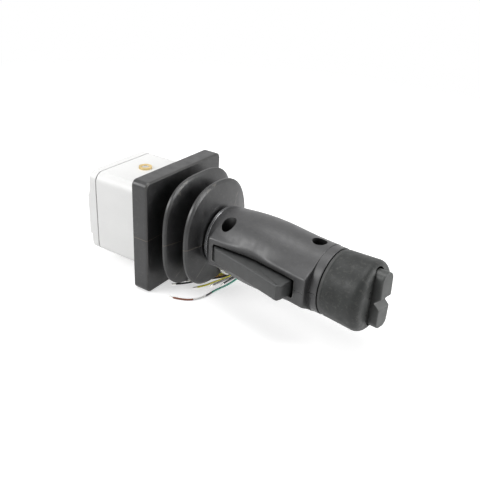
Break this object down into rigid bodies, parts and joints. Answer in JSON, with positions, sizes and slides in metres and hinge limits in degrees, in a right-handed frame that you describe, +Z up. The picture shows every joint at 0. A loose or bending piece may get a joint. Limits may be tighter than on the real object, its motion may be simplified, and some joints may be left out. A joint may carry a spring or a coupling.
{
  "type": "industrial joystick",
  "caption": "Panel-mount joystick with one sprung tilt axis, square housing, rubber bellows, finger trigger and thumb rocker on its grip.",
  "frame": {"origin": "centre of the mounting face, on the lever axis; the part lies on the lower edge of its boot at z = -45 mm", "axes": "+X along the lever from the housing to the cap, +Z up with the part on its side, the trigger faces -Y"},
  "size_m": [0.2479, 0.1372, 0.09],
  "materials": {
    "painted_casting": "light grey powder coat on die-cast aluminium",
    "gasket_rubber": "matt black",
    "screw_steel": "zinc plated",
    "plate_steel": "zinc plated sheet",
    "boot_rubber": "satin moulded black rubber",
    "bronze": "turned bronze",
    "shaft_steel": "ground",
    "spring_steel": "drawn wire",
    "inner_plastic": "moulded",
    "magnet": "nickel plated",
    "circuit_board": "green solder resist",
    "collar_steel": "polished",
    "grip_plastic": "fine spark texture, dark grey",
    "black_screw": "black oxide",
    "trigger_plastic": "satin moulded",
    "seam_rubber": "matt",
    "cap_rubber": "soft matt, slightly dusty",
    "cable_sheath": "matt black sheath",
    "lead_white": "extruded insulation",
    "lead_tan": "extruded insulation",
    "lead_teal": "extruded insulation",
    "lead_black": "extruded insulation",
    "lead_yellow": "extruded insulation",
    "lead_grey": "extruded insulation",
    "lead_green": "extruded insulation"
  },
  "bodies": {
    "base": {"housing": "painted_casting", "rear_cover": "painted_casting", "cover_gasket": "gasket_rubber", "cover_screws": "screw_steel", "mounting_plate": "plate_steel", "plate_screws": "screw_steel", "boot": "boot_rubber", "upper_bush": "bronze", "lower_bush": "bronze", "centring_spring": "spring_steel", "spring_post": "shaft_steel", "circuit_board": "circuit_board", "hall_sensor": "inner_plastic", "board_screws": "screw_steel", "cable_boot": "boot_rubber", "cable": "cable_sheath", "breakout_sleeve": "cable_sheath", "lead_white_long": "lead_white", "lead_white_short": "lead_white", "lead_tan": "lead_tan", "lead_teal": "lead_teal", "lead_black": "lead_black", "lead_black_short": "lead_black", "lead_yellow_far": "lead_yellow", "lead_yellow_near": "lead_yellow", "lead_grey": "lead_grey", "lead_green": "lead_green"},
    "lever": {"pivot_shaft": "shaft_steel", "lever_hub": "shaft_steel", "hub_grub_screw": "screw_steel", "lever_rod": "shaft_steel", "magnet_holder": "inner_plastic", "sensor_magnet": "magnet", "neck_collar": "collar_steel", "grip_upper_half": "grip_plastic", "grip_lower_half": "grip_plastic", "grip_screws": "black_screw", "trigger_pin": "shaft_steel", "trigger_spring": "spring_steel", "trigger_switch": "inner_plastic", "seam_ring": "seam_rubber", "cap": "cap_rubber", "rocker_pin": "shaft_steel", "rocker_switch": "inner_plastic"},
    "trigger": {"trigger": "trigger_plastic"},
    "rocker": {"rocker": "cap_rubber"}
  },
  "joints": [
    {"name": "lever_tilt", "type": "hinge", "parent": "base", "child": "lever", "pos_m": [-0.027, 0, 0], "axis": [0, 0, 1], "range_deg": [-20, 20], "stiffness_Nm_per_rad": 6, "deforming": ["boot", "centring_spring"]},
    {"name": "trigger_pull", "type": "hinge", "parent": "lever", "child": "trigger", "pos_m": [0.06567, -0.02378, 0], "axis": [0, 0, 1], "range_deg": [0, 6], "stiffness_Nm_per_rad": 0.5, "springref_deg": -17.19, "deforming": ["trigger_spring"]},
    {"name": "rocker_tip", "type": "hinge", "parent": "lever", "child": "rocker", "pos_m": [0.17414, -0.01058, 0], "axis": [0.0872, 0.9962, 0], "range_deg": [-8, 8], "stiffness_Nm_per_rad": 0.1}
  ]
}
